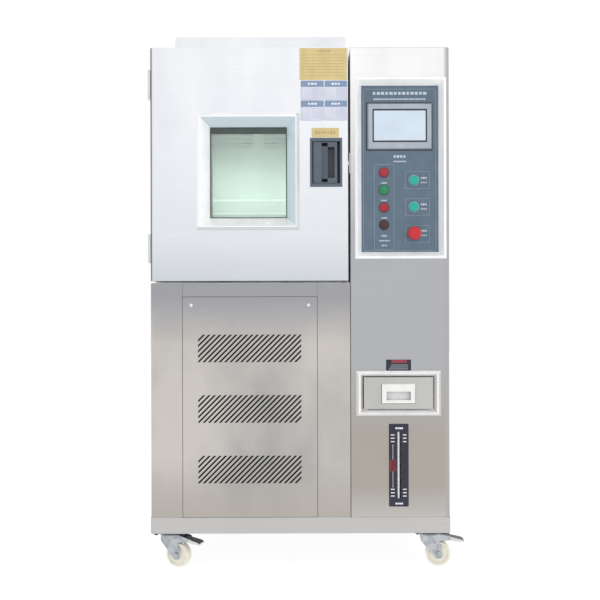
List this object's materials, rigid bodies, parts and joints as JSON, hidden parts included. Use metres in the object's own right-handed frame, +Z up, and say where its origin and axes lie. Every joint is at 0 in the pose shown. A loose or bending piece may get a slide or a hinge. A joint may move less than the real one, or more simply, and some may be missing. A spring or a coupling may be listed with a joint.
{
  "type": "environmental test chamber",
  "caption": "Free-standing temperature and humidity test chamber on braked casters, with a windowed door, control column and refill drawer.",
  "frame": {"origin": "centre of the floor area that the whole object covers, with the wheels standing on z = 0", "axes": "+Z up, -Y out of the front (the door and the control panel face -Y), +X to the viewer's right"},
  "size_m": [0.9602, 0.934, 1.67],
  "materials": {
    "bright_steel": "brushed",
    "warm_steel": "brushed",
    "mirror_steel": "polished",
    "zinc": "satin",
    "galvanised": "matte",
    "slate_paint": "satin",
    "slate_cast": "satin",
    "foam": "matte",
    "seal_rubber": "matte",
    "clear_glass": "gloss",
    "light_plastic": "matte",
    "white_plastic": "gloss",
    "lamp_plastic": "gloss",
    "green_plastic": "gloss",
    "red_plastic": "gloss",
    "navy_plastic": "satin",
    "nylon": "satin",
    "black_iron": "satin",
    "aluminium_fin": "satin"
  },
  "bodies": {
    "cabinet": {"access_panel": "warm_steel", "air_baffle": "bright_steel", "back_panel": "warm_steel", "base_frame": "warm_steel", "blower_motor": "slate_cast", "cabinet_hinges": "mirror_steel", "chamber_deck": "warm_steel", "chamber_insulation": "foam", "chamber_liner": "bright_steel", "column_front": "bright_steel", "compressor": "black_iron", "condenser": "aluminium_fin", "control_frame": "mirror_steel", "control_panel": "slate_paint", "divider_panel": "galvanised", "drawer_frame": "mirror_steel", "electrical_plate": "light_plastic", "evaporator": "aluminium_fin", "gauge_plate": "navy_plastic", "heater_coil": "mirror_steel", "latch_keeper": "zinc", "left_side_panel": "warm_steel", "lower_fascia": "warm_steel", "motor_cover": "bright_steel", "panel_fittings": "lamp_plastic", "port_sleeve": "bright_steel", "rear_fittings": "zinc", "right_side_panel": "warm_steel", "sight_tube": "clear_glass", "top_panel": "bright_steel", "touch_screen": "light_plastic", "water_tank": "light_plastic", "wire_shelves": "mirror_steel"},
    "door": {"door_shell": "bright_steel", "door_inner_panel": "bright_steel", "door_insulation": "foam", "door_gasket": "seal_rubber", "window_frame": "mirror_steel", "window_glass": "clear_glass", "handle_housing": "slate_cast", "door_hinges": "mirror_steel"},
    "lever": {"handle_lever": "slate_cast"},
    "bolt": {"latch_bolt": "zinc"},
    "drawer": {"water_drawer": "bright_steel", "drawer_pull": "white_plastic"},
    "power_key": {"power_button": "green_plastic"},
    "run_key": {"run_button": "green_plastic"},
    "stop_key": {"stop_button": "red_plastic"},
    "blower_rotor": {"blower_impeller": "aluminium_fin"},
    "fan_rotor": {"condenser_fan": "galvanised"},
    "front_left_swivel": {"front_left_fork": "zinc"},
    "front_left_roller": {"front_left_wheel": "nylon"},
    "front_left_pedal": {"front_left_brake": "slate_cast"},
    "front_right_swivel": {"front_right_fork": "zinc"},
    "front_right_roller": {"front_right_wheel": "nylon"},
    "front_right_pedal": {"front_right_brake": "slate_cast"},
    "rear_left_swivel": {"rear_left_fork": "zinc"},
    "rear_left_roller": {"rear_left_wheel": "nylon"},
    "rear_right_swivel": {"rear_right_fork": "zinc"},
    "rear_right_roller": {"rear_right_wheel": "nylon"}
  },
  "joints": [
    {"name": "door_swing", "type": "hinge", "parent": "cabinet", "child": "door", "pos_m": [-0.47459, -0.374, 0.869], "axis": [0, 0, -1], "range_deg": [0, 120]},
    {"name": "handle_pull", "type": "hinge", "parent": "door", "child": "lever", "pos_m": [0.02791, -0.45, 1.2245], "axis": [0, 0, -1], "range_deg": [0, 35]},
    {"name": "latch_slide", "type": "slide", "parent": "door", "child": "bolt", "axis": [-1, 0, 0], "range_m": [0, 0.008]},
    {"name": "drawer_slide", "type": "slide", "parent": "cabinet", "child": "drawer", "axis": [0, -1, 0], "range_m": [0, 0.25]},
    {"name": "blower_spin", "type": "hinge", "parent": "cabinet", "child": "blower_rotor", "pos_m": [-0.17109, 0.13075, 1.4045], "axis": [0, 0, 1], "continuous": true},
    {"name": "fan_spin", "type": "hinge", "parent": "cabinet", "child": "fan_rotor", "pos_m": [-0.16909, -0.369, 0.35], "axis": [0, 1, 0], "continuous": true},
    {"name": "power_press", "type": "slide", "parent": "cabinet", "child": "power_key", "axis": [0, 1, 0], "range_m": [0, 0.005], "stiffness_N_per_m": 300},
    {"name": "run_press", "type": "slide", "parent": "cabinet", "child": "run_key", "axis": [0, 1, 0], "range_m": [0, 0.005], "stiffness_N_per_m": 300},
    {"name": "stop_press", "type": "slide", "parent": "cabinet", "child": "stop_key", "axis": [0, 1, 0], "range_m": [0, 0.005], "stiffness_N_per_m": 300},
    {"name": "front_left_turn", "type": "hinge", "parent": "cabinet", "child": "front_left_swivel", "pos_m": [-0.41409, -0.413, 0.1075], "axis": [0, 0, 1], "continuous": true},
    {"name": "front_left_roll", "type": "hinge", "parent": "front_left_swivel", "child": "front_left_roller", "pos_m": [-0.3906, -0.42155, 0.0375], "axis": [0.342, 0.9397, 0], "continuous": true},
    {"name": "front_left_brake_press", "type": "hinge", "parent": "front_left_swivel", "child": "front_left_pedal", "pos_m": [-0.38778, -0.42258, 0.09], "axis": [0.342, 0.9397, 0], "range_deg": [0, 10]},
    {"name": "front_right_turn", "type": "hinge", "parent": "cabinet", "child": "front_right_swivel", "pos_m": [0.37591, -0.413, 0.1075], "axis": [0, 0, 1], "continuous": true},
    {"name": "front_right_roll", "type": "hinge", "parent": "front_right_swivel", "child": "front_right_roller", "pos_m": [0.40082, -0.41518, 0.0375], "axis": [0.0872, 0.9962, 0], "continuous": true},
    {"name": "front_right_brake_press", "type": "hinge", "parent": "front_right_swivel", "child": "front_right_pedal", "pos_m": [0.40381, -0.41544, 0.09], "axis": [0.0872, 0.9962, 0], "range_deg": [0, 10]},
    {"name": "rear_left_turn", "type": "hinge", "parent": "cabinet", "child": "rear_left_swivel", "pos_m": [-0.41409, 0.397, 0.1075], "axis": [0, 0, 1], "continuous": true},
    {"name": "rear_left_roll", "type": "hinge", "parent": "rear_left_swivel", "child": "rear_left_roller", "pos_m": [-0.43758, 0.38845, 0.0375], "axis": [0.342, -0.9397, 0], "continuous": true},
    {"name": "rear_right_turn", "type": "hinge", "parent": "cabinet", "child": "rear_right_swivel", "pos_m": [0.37591, 0.397, 0.1075], "axis": [0, 0, 1], "continuous": true},
    {"name": "rear_right_roll", "type": "hinge", "parent": "rear_right_swivel", "child": "rear_right_roller", "pos_m": [0.40037, 0.4022, 0.0375], "axis": [-0.2079, 0.9781, 0], "continuous": true}
  ],
  "couplings": [
    {"joint": "latch_slide", "follows": "handle_pull", "m_per_rad": 0.013}
  ]
}
